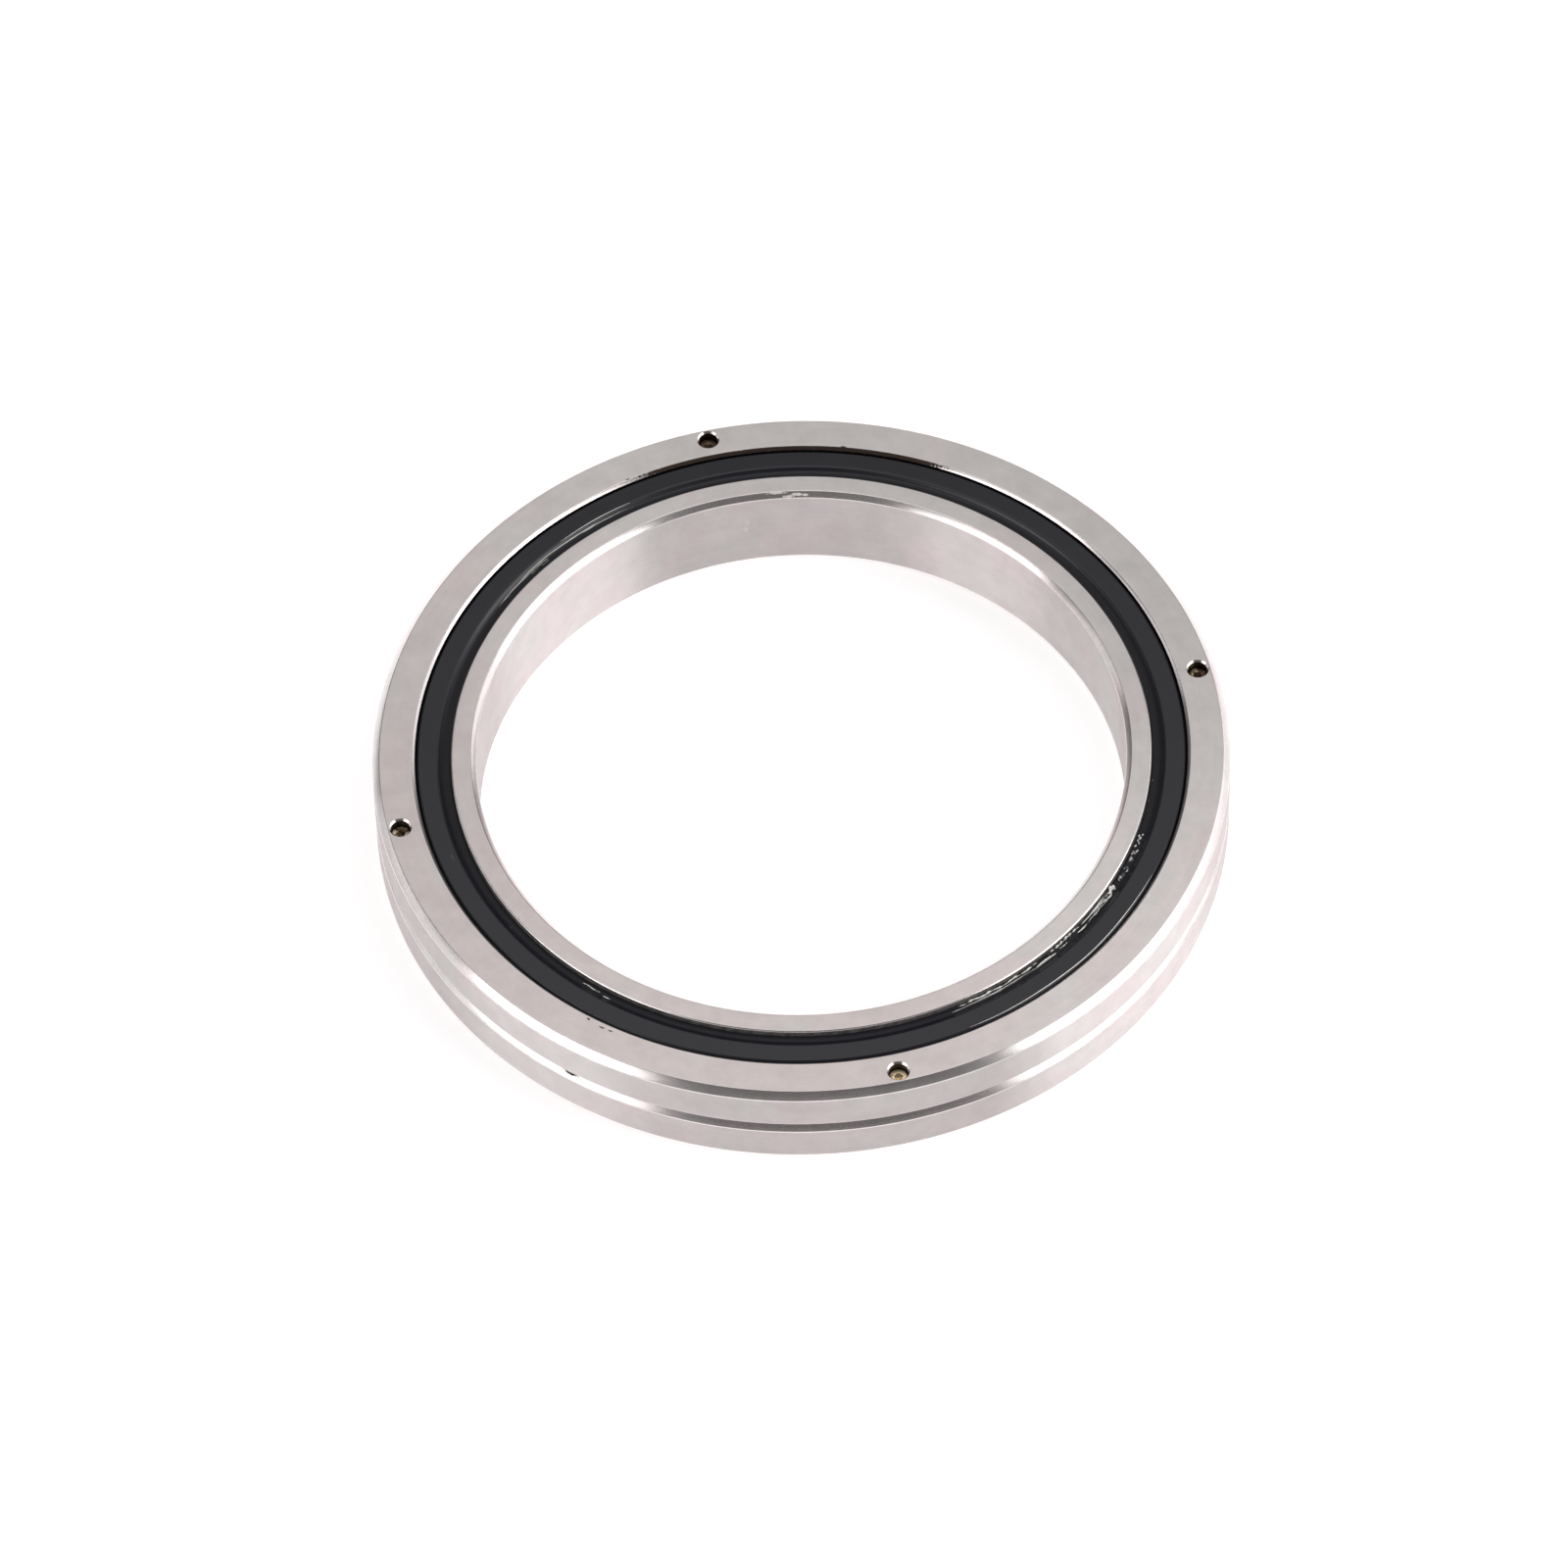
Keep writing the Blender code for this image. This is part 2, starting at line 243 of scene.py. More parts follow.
def rounded(profile, default_round=EDGE_ROUND):
    """Closed profile with a small arc at each corner. A third value is that corner's own round."""
    corners = [Vector(point[:2]) for point in profile]
    rounds = [point[2] if len(point) > 2 else default_round for point in profile]
    points = []
    for index, corner in enumerate(corners):
        before = corners[index - 1] - corner
        after = corners[(index + 1) % len(corners)] - corner
        reach = min(rounds[index], FILLET_SHARE * min(before.length, after.length))
        start = corner + before.normalized() * reach
        end = corner + after.normalized() * reach
        for step in range(FILLET_STEPS + 1):
            t = step / FILLET_STEPS
            points.append(start * (1 - t) ** 2 + corner * 2 * t * (1 - t) + end * t**2)
    return [tuple(point) for point in points]


def flipped(profile):
    """The same profile on the other side of the mid plane."""
    return [(radius, -height, *rest) for radius, height, *rest in profile]


def mirrored(profile):
    """An upper half profile followed by its lower half."""
    return profile + flipped(reversed(profile))


def turned(name, profile, segments=RING_SEGMENTS, closed=True):
    """Mesh made by turning a profile about Z, with its mid plane at height 0."""
    bm = bmesh.new()
    corners = [bm.verts.new((radius * MM, 0.0, height * MM)) for radius, height in profile]
    edges = [bm.edges.new(pair) for pair in zip(corners, corners[1:])]
    if closed:
        edges.append(bm.edges.new((corners[-1], corners[0])))
    bmesh.ops.spin(
        bm,
        geom=corners + edges,
        cent=(0.0, 0.0, 0.0),
        axis=(0.0, 0.0, 1.0),
        angle=2 * math.pi,
        steps=segments,
        use_merge=True,
    )
    bmesh.ops.remove_doubles(bm, verts=bm.verts, dist=WELD)
    bmesh.ops.recalc_face_normals(bm, faces=bm.faces)
    mesh = bpy.data.meshes.new(name)
    bm.to_mesh(mesh)
    bm.free()
    mesh.shade_smooth()
    return mesh


def add_object(name, mesh):
    item = bpy.data.objects.new(name, mesh)
    bpy.context.scene.collection.objects.link(item)
    return item


def apply_modifiers(item):
    graph = bpy.context.evaluated_depsgraph_get()
    item.data = bpy.data.meshes.new_from_object(item.evaluated_get(graph))
    item.modifiers.clear()


def cut_all(item, cutter_mesh, places):
    """Cut the same shape out of an object at each place."""
    cutters = [add_object("cutter", cutter_mesh) for place in places]
    for cutter, place in zip(cutters, places):
        cutter.matrix_world = place
        boolean = item.modifiers.new("cut", "BOOLEAN")
        boolean.operation = "DIFFERENCE"
        boolean.solver = "EXACT"
        boolean.object = cutter
    bpy.context.view_layer.update()
    apply_modifiers(item)
    for cutter in cutters:
        bpy.data.objects.remove(cutter)


def even_normals(item):
    """Keep flat faces flat in the shading beside their small rounded edges."""
    item.data.set_sharp_from_angle(angle=SHARP_ANGLE)
    weighted = item.modifiers.new("even_normals", "WEIGHTED_NORMAL")
    weighted.weight = FLAT_FACE_WEIGHT
    weighted.keep_sharp = True
    apply_modifiers(item)


def finish_at(polygon, holes):
    """Index of the finish that a face of a ring takes from its slope and its place."""
    centre = polygon.center / MM
    height = abs(centre.z - HALF_WIDTH)
    rise = abs(polygon.normal.z)
    level = rise > LEVEL_RISE
    outer_level = level and not SEAM_HEIGHT + TINY < height < HALF_WIDTH - TINY
    in_hole = any((centre.xy - hole).length < HOLE_MOUTH_RADIUS for hole in holes)
    if in_hole and not outer_level:
        return RECESS if level or rise < UPRIGHT_RISE else HOLE_EDGE
    radius = centre.xy.length
    between_rings = LAND_RADIUS - TINY < radius < POCKET_RADIUS + TINY
    if between_rings and height < HALF_WIDTH - LAND_CHAMFER:
        return RECESS
    return FACE if level else WALL if rise < UPRIGHT_RISE else EDGE


def give_finishes(item, finishes, holes=()):
    item.data.materials.clear()
    for finish in finishes:
        item.data.materials.append(finish)
    for polygon in item.data.polygons:
        polygon.material_index = finish_at(polygon, holes)


def place_piece(item, body, slot, *nodes):
    """Let a piece ride on its body in place of its CAD nodes. The slot is not used."""
    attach(item, body)
    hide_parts(*nodes)


def raised(mesh):
    """Move a mesh from the mid plane to its height above the floor."""
    mesh.transform(Matrix.Translation((0.0, 0.0, HALF_WIDTH * MM)))
    return mesh


# ---------------------------------------------------------------- material nodes

# Nearly the whole span of a noise, and its middle
WIDE_NOISE = (0.2, 0.8)
MIDDLE_NOISE = (0.3, 0.7)

# Weight of a step upward beside a step outward, where lines are drawn round the axis
LATHE_SLANT = 1.7


def feed(tree, socket, value):
    """Link a socket to another one, or set its plain value."""
    if isinstance(value, bpy.types.NodeSocket):
        tree.links.new(value, socket)
    else:
        socket.default_value = value


def calc(tree, operation, *values):
    node = tree.nodes.new("ShaderNodeMath")
    node.operation = operation
    for socket, value in zip(node.inputs, values):
        feed(tree, socket, value)
    return node.outputs[0]


def vector_calc(tree, operation, *values, output=0):
    node = tree.nodes.new("ShaderNodeVectorMath")
    node.operation = operation
    for socket, value in zip(node.inputs, values):
        feed(tree, socket, value)
    return node.outputs[output]


def remap(tree, value, low, high, new_low, new_high, smooth=False):
    node = tree.nodes.new("ShaderNodeMapRange")
    node.interpolation_type = "SMOOTHSTEP" if smooth else "LINEAR"
    for name, given in zip(
        ("Value", "From Min", "From Max", "To Min", "To Max"),
        (value, low, high, new_low, new_high),
    ):
        feed(tree, node.inputs[name], given)
    return node.outputs["Result"]


def mix_colour(tree, share, first, second, blend="MIX"):
    node = tree.nodes.new("ShaderNodeMix")
    node.data_type = "RGBA"
    node.blend_type = blend
    feed(tree, node.inputs["Factor"], share)
    for socket, value in zip(
        [socket for socket in node.inputs if socket.type == "RGBA"], (first, second)
    ):
        feed(tree, socket, value)
    return next(socket for socket in node.outputs if socket.type == "RGBA")


def noise(tree, vector, scale, detail=2.0, roughness=0.5):
    node = tree.nodes.new("ShaderNodeTexNoise")
    feed(tree, node.inputs["Vector"], vector)
    node.inputs["Scale"].default_value = scale
    node.inputs["Detail"].default_value = detail
    node.inputs["Roughness"].default_value = roughness
    return node.outputs["Fac"]


def place_in_mm(tree):
    """Place on the piece, in millimetres."""
    object_place = tree.nodes.new("ShaderNodeTexCoord").outputs["Object"]
    scaled = vector_calc(tree, "SCALE", object_place)
    scaled.node.inputs["Scale"].default_value = 1 / MM
    return scaled


def flat_place(tree, place):
    """The place without its height."""
    return vector_calc(tree, "MULTIPLY", place, (1.0, 1.0, 0.0))


def radius_of(tree, place):
    return vector_calc(tree, "LENGTH", flat_place(tree, place), output=1)


def lathe_coordinates(tree, place, length, width):
    """Coordinates whose noise draws lines round the axis, of that size in millimetres."""
    parts = tree.nodes.new("ShaderNodeSeparateXYZ")
    feed(tree, parts.inputs[0], place)
    around = vector_calc(tree, "SCALE", vector_calc(tree, "NORMALIZE", flat_place(tree, place)))
    around.node.inputs["Scale"].default_value = PITCH_RADIUS / length
    slant = calc(tree, "MULTIPLY_ADD", parts.outputs["Z"], LATHE_SLANT, radius_of(tree, place))
    across = calc(tree, "MULTIPLY", slant, 1 / width)
    lift = tree.nodes.new("ShaderNodeCombineXYZ")
    feed(tree, lift.inputs[2], across)
    return vector_calc(tree, "ADD", around, lift.outputs[0])


def new_material(name):
    material = bpy.data.materials.new(name)
    material.use_nodes = True
    tree = material.node_tree
    return material, tree, tree.nodes["Principled BSDF"]


def add_bump(tree, surface, height, depth):
    """Bump of that depth in millimetres."""
    bump = tree.nodes.new("ShaderNodeBump")
    bump.inputs["Strength"].default_value = 1.0
    bump.inputs["Distance"].default_value = depth * MM
    feed(tree, bump.inputs["Height"], height)
    tree.links.new(bump.outputs["Normal"], surface.inputs["Normal"])


def mark_share(tree, place, mark):
    """1 on a mark and 0 away from it, with a ragged edge."""
    azimuth, radius, height, *sizes = mark
    angle = math.radians(azimuth)
    local = tree.nodes.new("ShaderNodeMapping")
    local.vector_type = "TEXTURE"
    feed(tree, local.inputs["Vector"], place)
    local.inputs["Location"].default_value = (
        radius * math.cos(angle),
        radius * math.sin(angle),
        HALF_WIDTH + height,
    )
    local.inputs["Rotation"].default_value = (0.0, 0.0, angle)
    local.inputs["Scale"].default_value = sizes
    reach = vector_calc(tree, "LENGTH", local.outputs[0], output=1)
    grain = noise(tree, place, *MARK_NOISE)
    ragged = calc(tree, "ADD", reach, remap(tree, grain, *MIDDLE_NOISE, *MARK_RAGGEDNESS))
    return remap(tree, ragged, *MARK_FADE, 1.0, 0.0, smooth=True)


def add_marks(tree, place, colour, polish, marks, mark_colour, mark_polish):
    """Colour and roughness with the marks laid over them."""
    for mark in marks:
        share = mark_share(tree, place, mark)
        colour = mix_colour(tree, share, colour, mark_colour)
        polish = remap(tree, share, 0.0, 1.0, polish, mark_polish)
    return colour, polish


# ---------------------------------------------------------------- finishes

# Noises: scale in a millimetre, detail and roughness. Sizes: length and width in millimetres.
# Polish: roughness at the low and the high end of a noise, and for the lines of ground steel as
# a share of its own. Depths: in millimetres.
LINE_SIZE = (9.0, 0.09)
LINE_NOISE = (1.0, 3.0, 0.6)
LINE_SHADE = (0.965, 1.035)
LINE_POLISH = (0.92, 1.08)
BAND_SIZE = (16.0, 0.45)
BAND_NOISE = (1.0, 2.0)
BAND_SHADE = (-0.012, 0.012)
MOTTLE_NOISE = (0.55, 4.0, 0.65)
MOTTLE_SHADE = (-0.06, 0.06)
CLOUD_NOISE = (0.2, 3.0)
CLOUD_EDGES = (0.38, 0.62)
WARM_TINT = (1.012, 0.988, 0.992)
COOL_TINT = (0.978, 1.010, 1.0)
QUARTER_TURN = 0.25

# Painted warm cast of the light: the faces are a little warmer towards this side. Rise of the warm
# share in a millimetre
PAINTED_WARM_SIDE = (-0.003, -0.005, 0.0)
EVEN = (0.0, 0.0, 0.0)

# Ground steel on the flat faces, the upright walls and the chamfers
FACE_FINISH = {
    "colour": (0.60, 0.552, 0.542),
    "roughness": 0.42,
    "stretch": 0.6,
    "line_depth": 0.0006,
}
# Painted shade: the walls' colour is darker and a little pinker than the faces', the same steel
WALL_FINISH = {
    "colour": (0.527, 0.479, 0.481),
    "roughness": 0.43,
    "stretch": 1.0,
    "line_depth": 0.0006,
}
EDGE_FINISH = {
    "colour": (0.60, 0.55, 0.552),
    "roughness": 0.26,
    "stretch": 0.5,
    "line_depth": 0.00003,
}

# Metal without a direction: detail and roughness of its grain, and the edges of its dull patches
METAL_GRAIN = (4.0, 0.6)
METAL_PATCHES = (0.35, 0.65)

# Rubber. Skins: shine, smoothest and roughest, on the band of a seal and on its lip
RUBBER_DARK = (0.0045, 0.0046, 0.0080, 1.0)
RUBBER_PALE = (0.0075, 0.0076, 0.0118, 1.0)
RUBBER_NOISE = (14.0, 3.0, 0.6)
RUBBER_CLOUDS = (0.4, 2.0)
RUBBER_DEPTH = 0.003
BAND_SKIN = (0.41, 0.29, 0.37)
LIP_SKIN = (0.24, 0.42, 0.5)

# Grease. It is pale where it stands tall over the lip, up to a share, and in streaks elsewhere.
# This paleness is partly the grease's own and partly a painted highlight on the streaks
GREASE_THIN = (0.05, 0.048, 0.045, 1.0)
GREASE_THICK_AND_GLINT = (0.86, 0.84, 0.80, 1.0)
GREASE_SIZE = (4.0, 0.12)
GREASE_NOISE = (1.0, 2.0, 0.5)
GREASE_EDGES = (0.44, 0.56)
GREASE_POLISH = (0.32, 0.12)
GREASE_DEPTH = 0.02
TALL_GREASE = (0.08, 0.18)
TALL_SHARE = 0.85

# Brass of the rivets: how much of each is stained, and the noise levels where the stain begins
RIVET_TARNISH = (0.62, 0.85, 0.5, 0.1)
BRASS_BRIGHT = (0.80, 0.655, 0.42, 1.0)
BRASS_BROWN = (0.10, 0.065, 0.045, 1.0)
STAIN_NOISE = (1.6, 3.0, 0.6)
STAIN_LEVEL = 0.75
STAIN_LEVEL_FALL = 0.5
STAIN_EDGE = 0.1
BRASS_GRAIN = (18.0, 3.0)
BRASS_POLISH = (0.26, 0.42)
BRASS_DEPTH = 0.008

# Natural polymer of the cage
POLYMER_PALE = (0.74, 0.70, 0.58, 1.0)
POLYMER_DEEP = (0.66, 0.61, 0.48, 1.0)
POLYMER_GRAIN = (5.0, 4.0, 0.6)
POLYMER_POLISH = (0.38, 0.52)
POLYMER_DEPTH = 0.01


def tinted(colour, tint):
    return (*(part * share for part, share in zip(colour, tint)), 1.0)


def ground_steel(
    name, colour, roughness, stretch, line_depth, painted_warm_side=EVEN, dark_marks=(), bright_marks=()
):
    """Steel ground round the axis: fine lines, faint warm and cool clouds, uneven polish."""
    material, tree, surface = new_material(name)
    place = place_in_mm(tree)
    lines = noise(tree, lathe_coordinates(tree, place, *LINE_SIZE), *LINE_NOISE)
    bands = noise(tree, lathe_coordinates(tree, place, *BAND_SIZE), *BAND_NOISE)
    # Painted light: the clouds lean warmer towards the side given
    lean = vector_calc(tree, "DOT_PRODUCT", place, painted_warm_side, output=1)
    clouds = calc(tree, "ADD", noise(tree, place, *CLOUD_NOISE), lean)
    mottle = noise(tree, place, *MOTTLE_NOISE)
    warmth = remap(tree, clouds, *CLOUD_EDGES, 0.0, 1.0, smooth=True)
    tint = mix_colour(tree, warmth, tinted(colour, COOL_TINT), tinted(colour, WARM_TINT))
    shade = remap(tree, lines, *WIDE_NOISE, *LINE_SHADE)
    shade = calc(tree, "ADD", shade, remap(tree, bands, *MIDDLE_NOISE, *BAND_SHADE))
    shade = calc(tree, "ADD", shade, remap(tree, mottle, *MIDDLE_NOISE, *MOTTLE_SHADE))
    grey = tree.nodes.new("ShaderNodeCombineColor")
    for socket in grey.inputs:
        feed(tree, socket, shade)
    metal = mix_colour(tree, 1.0, tint, grey.outputs[0], "MULTIPLY")
    smoothest, roughest = (roughness * share for share in LINE_POLISH)
    polish = remap(tree, lines, *WIDE_NOISE, smoothest, roughest)
    metal, polish = add_marks(tree, place, metal, polish, dark_marks, *GRIME)
    # Pale stains, and on the bore wall painted highlights
    metal, polish = add_marks(tree, place, metal, polish, bright_marks, *BARE_STEEL_AND_GLINT)
    feed(tree, surface.inputs["Base Color"], metal)
    feed(tree, surface.inputs["Roughness"], polish)
    surface.inputs["Metallic"].default_value = 1.0
    surface.inputs["Anisotropic"].default_value = stretch
    surface.inputs["Anisotropic Rotation"].default_value = QUARTER_TURN
    tangent = tree.nodes.new("ShaderNodeTangent")
    tangent.direction_type = "RADIAL"
    tangent.axis = "Z"
    tree.links.new(tangent.outputs[0], surface.inputs["Tangent"])
    add_bump(tree, surface, lines, line_depth)
    return material


def plain_metal(name, bright, dull, smoothest, roughest, scale, depth, bareness=1.0):
    """Metal of uneven colour and polish, without a direction. Bareness falls under a film."""
    material, tree, surface = new_material(name)
    place = place_in_mm(tree)
    grain = noise(tree, place, scale, *METAL_GRAIN)
    share = remap(tree, grain, *METAL_PATCHES, 0.0, 1.0, smooth=True)
    feed(tree, surface.inputs["Base Color"], mix_colour(tree, share, bright, dull))
    polish = remap(tree, grain, *WIDE_NOISE, smoothest, roughest)
    feed(tree, surface.inputs["Roughness"], polish)
    surface.inputs["Metallic"].default_value = bareness
    add_bump(tree, surface, grain, depth)
    return material


def recess_shade_steel():
    """Dark steel inside the holes and between the rings: painted shade in these recesses."""
    return plain_metal(
        "steel_painted_shade",
        bright=(0.10, 0.082, 0.075, 1.0),
        dull=(0.045, 0.037, 0.034, 1.0),
        smoothest=0.3,
        roughest=0.5,
        scale=3.0,
        depth=0.004,
    )


def land_steel():
    """Steel beside the lip, under a thin film of grease."""
    return plain_metal(
        "steel_beside_lip",
        bright=(0.19, 0.18, 0.175, 1.0),
        dull=(0.10, 0.094, 0.09, 1.0),
        smoothest=0.32,
        roughest=0.48,
        scale=2.0,
        depth=0.003,
        bareness=0.3,
    )


def hole_edge_steel():
    """Bright cut at the mouth of a rivet's hole."""
    return plain_metal(
        "hole_edge_cut",
        bright=(0.60, 0.55, 0.54, 1.0),
        dull=(0.48, 0.43, 0.42, 1.0),
        smoothest=0.14,
        roughest=0.26,
        scale=8.0,
        depth=0.002,
    )


def seal_rubber(name, shine, smoothest, roughest):
    """Black moulded rubber with a fine matt skin."""
    material, tree, surface = new_material(name)
    place = place_in_mm(tree)
    skin = noise(tree, place, *RUBBER_NOISE)
    clouds = noise(tree, place, *RUBBER_CLOUDS)
    polish = remap(tree, skin, *WIDE_NOISE, smoothest, roughest)
    colour = mix_colour(tree, clouds, RUBBER_DARK, RUBBER_PALE)
    colour, polish = add_marks(tree, place, colour, polish, SEAL_SCUFFS, *SCUFFED_RUBBER)
    feed(tree, surface.inputs["Base Color"], colour)
    feed(tree, surface.inputs["Roughness"], polish)
    surface.inputs["Specular IOR Level"].default_value = shine
    add_bump(tree, surface, skin, RUBBER_DEPTH)
    return material


def grease_and_glint_film():
    """Pale bearing grease, thin and dark in places. Its paleness is partly a painted highlight."""
    material, tree, surface = new_material("grease_pale")
    place = place_in_mm(tree)
    lumps = noise(tree, lathe_coordinates(tree, place, *GREASE_SIZE), *GREASE_NOISE)
    parts = tree.nodes.new("ShaderNodeSeparateXYZ")
    feed(tree, parts.inputs[0], place)
    low, high = (HALF_WIDTH + LIP_TOP + height for height in TALL_GREASE)
    tall = remap(tree, parts.outputs["Z"], low, high, 0.0, TALL_SHARE)
    streaky = remap(tree, lumps, *GREASE_EDGES, 0.0, 1.0, smooth=True)
    share = calc(tree, "MAXIMUM", streaky, tall)
    # Pale where thick or tall: partly the grease's colour, partly painted highlight
    feed(tree, surface.inputs["Base Color"], mix_colour(tree, share, GREASE_THIN, GREASE_THICK_AND_GLINT))
    feed(tree, surface.inputs["Roughness"], remap(tree, lumps, *WIDE_NOISE, *GREASE_POLISH))
    add_bump(tree, surface, lumps, GREASE_DEPTH)
    return material


def rivet_brass(name, tarnish):
    """Brass whose stain covers the more of it, the nearer that tarnish is to 1."""
    material, tree, surface = new_material(name)
    place = place_in_mm(tree)
    stain = noise(tree, place, *STAIN_NOISE)
    grain = noise(tree, place, *BRASS_GRAIN)
    level = STAIN_LEVEL - STAIN_LEVEL_FALL * tarnish
    share = remap(tree, stain, level - STAIN_EDGE, level + STAIN_EDGE, 0.0, 1.0, smooth=True)
    feed(tree, surface.inputs["Base Color"], mix_colour(tree, share, BRASS_BRIGHT, BRASS_BROWN))
    feed(tree, surface.inputs["Roughness"], remap(tree, grain, *WIDE_NOISE, *BRASS_POLISH))
    surface.inputs["Metallic"].default_value = 1.0
    add_bump(tree, surface, grain, BRASS_DEPTH)
    return material


def roller_steel():
    return plain_metal(
        "roller_steel_metal",
        bright=(0.66, 0.66, 0.67, 1.0),
        dull=(0.58, 0.575, 0.58, 1.0),
        smoothest=0.1,
        roughest=0.2,
        scale=6.0,
        depth=0.0005,
    )


def cage_polymer():
    material, tree, surface = new_material("cage_polymer_natural")
    place = place_in_mm(tree)
    grain = noise(tree, place, *POLYMER_GRAIN)
    feed(tree, surface.inputs["Base Color"], mix_colour(tree, grain, POLYMER_PALE, POLYMER_DEEP))
    feed(tree, surface.inputs["Roughness"], remap(tree, grain, *WIDE_NOISE, *POLYMER_POLISH))
    add_bump(tree, surface, grain, POLYMER_DEPTH)
    return material


# ---------------------------------------------------------------- pieces


def inner_ring_profile():
    upper = [
        (BORE_RADIUS, HALF_WIDTH - BORE_CHAMFER),
        (BORE_RADIUS + BORE_CHAMFER, HALF_WIDTH),
        (LAND_RADIUS - LAND_CHAMFER, HALF_WIDTH),
        (LAND_RADIUS, HALF_WIDTH - LAND_CHAMFER),
        (LAND_RADIUS, SHOULDER_HEIGHT),
        (INNER_SHOULDER_RADIUS, SHOULDER_HEIGHT),
        (INNER_SHOULDER_RADIUS, RACEWAY_HEIGHT),
        (INNER_SHOULDER_RADIUS - (RACEWAY_HEIGHT - RELIEF_HEIGHT), RELIEF_HEIGHT),
    ]
    return mirrored(upper)


def outer_half_profile():
    """Upper half of the outer ring, whose raceway ends at the seam."""
    seam_corner = OUTER_SHOULDER_RADIUS + RACEWAY_HEIGHT - SEAM_HEIGHT
    return [
        (OUTSIDE_RADIUS - OUTSIDE_CHAMFER, HALF_WIDTH),
        (OUTSIDE_RADIUS, HALF_WIDTH - OUTSIDE_CHAMFER),
        (OUTSIDE_RADIUS, SEAM_HEIGHT + SEAM_CHAMFER),
        (OUTSIDE_RADIUS - SEAM_CHAMFER, SEAM_HEIGHT),
        (seam_corner, SEAM_HEIGHT),
        (OUTER_SHOULDER_RADIUS, RACEWAY_HEIGHT),
        (OUTER_SHOULDER_RADIUS, SHOULDER_HEIGHT),
        (POCKET_RADIUS, SHOULDER_HEIGHT),
        (POCKET_RADIUS, HALF_WIDTH - POCKET_CHAMFER),
        (POCKET_RADIUS + POCKET_CHAMFER, HALF_WIDTH),
    ]


def seal_profile():
    """Upper seal, from its heel over the band, the step and the cove to the lip and back."""
    return [
        (SEAL_RADIUS, SEAL_HEEL, SEAL_STEP_ROUND),
        (SEAL_RADIUS, SEAL_TOP - SEAL_EDGE_CHAMFER),
        (SEAL_RADIUS - SEAL_EDGE_CHAMFER, SEAL_TOP),
        (STEP_RADIUS + STEP_EASE, SEAL_TOP, SEAL_STEP_ROUND),
        (STEP_RADIUS, SEAL_TOP - STEP_EASE / 2, SEAL_STEP_ROUND),
        (STEP_RADIUS - STEP_RUN, SEAL_TOP - COVE_DEPTH, SEAL_STEP_ROUND),
        (STEP_RADIUS - STEP_RUN - COVE_RUN, LIP_TOP, SEAL_STEP_ROUND),
        (LIP_RADIUS, LIP_TOP + LIP_RISE),
        (LIP_RADIUS, LIP_TOP - LIP_THICKNESS),
        (OUTER_SHOULDER_RADIUS, UNDERSIDE_HEIGHT),
        (OUTER_SHOULDER_RADIUS + HEEL_CHAMFER, SEAL_HEEL),
    ]


def hole_profile():
    """Cutter for a rivet hole: wide above the mouth, then counterbore, seat and shank."""
    seat = RIVET_END - RIVET_HEAD_THICKNESS - SEAT_CLEARANCE
    countersink = HOLE_MOUTH_RADIUS - COUNTERBORE_RADIUS
    upper = [
        (0.0, HALF_WIDTH + countersink),
        (HOLE_MOUTH_RADIUS + countersink, HALF_WIDTH + countersink),
        (COUNTERBORE_RADIUS, HALF_WIDTH - countersink),
        (COUNTERBORE_RADIUS, seat),
        (SHANK_HOLE_RADIUS, seat),
    ]
    return mirrored(upper)


def rivet_profile():
    """Shank with a head at each end, and a rounded dimple in each head."""
    neck = RIVET_END - RIVET_HEAD_THICKNESS
    dimple = [
        (DIMPLE_RADIUS * across, RIVET_END - DIMPLE_DEPTH * down) for across, down in DIMPLE_CURVE
    ]
    head = [
        (RIVET_HEAD_RADIUS - RIVET_EDGE_BREAK, RIVET_END),
        (RIVET_HEAD_RADIUS, RIVET_END - RIVET_EDGE_BREAK),
        (RIVET_HEAD_RADIUS, neck),
        (SHANK_RADIUS, neck),
    ]
    return mirrored(dimple + head)


def roller_profile():
    """Roller along its own axis, from one end to the other."""
    barrel_end = ROLLER_HALF_LENGTH - ROLLER_CHAMFER
    upper = [
        (0.0, ROLLER_HALF_LENGTH),
        (ROLLER_RADIUS - ROLLER_CHAMFER, ROLLER_HALF_LENGTH),
        (ROLLER_RADIUS, barrel_end),
    ]
    return mirrored(upper)


def build_inner_ring(finishes):
    mesh = raised(turned("inner_ring_fine", rounded(inner_ring_profile())))
    item = add_object("inner_ring_fine", mesh)
    give_finishes(item, finishes)
    even_normals(item)
    place_piece(item, "inner_ring", "ring_steel", "inner_ring")


def build_outer_ring(finishes):
    hole = turned("hole", hole_profile(), HOLE_SEGMENTS, closed=False)
    centres = [middle(f"rivet_{index + 1}") for index in range(RIVET_COUNT)]
    places = [Matrix.Translation(centre) for centre in centres]
    holes = [centre.xy / MM for centre in centres]
    upper = rounded(outer_half_profile())
    for side, profile in (("upper", upper), ("lower", flipped(upper))):
        name = f"outer_ring_{side}"
        item = add_object(name + "_fine", raised(turned(name + "_fine", profile)))
        cut_all(item, hole, places)
        give_finishes(item, finishes, holes)
        even_normals(item)
        place_piece(item, "outer_ring", "ring_steel", name)


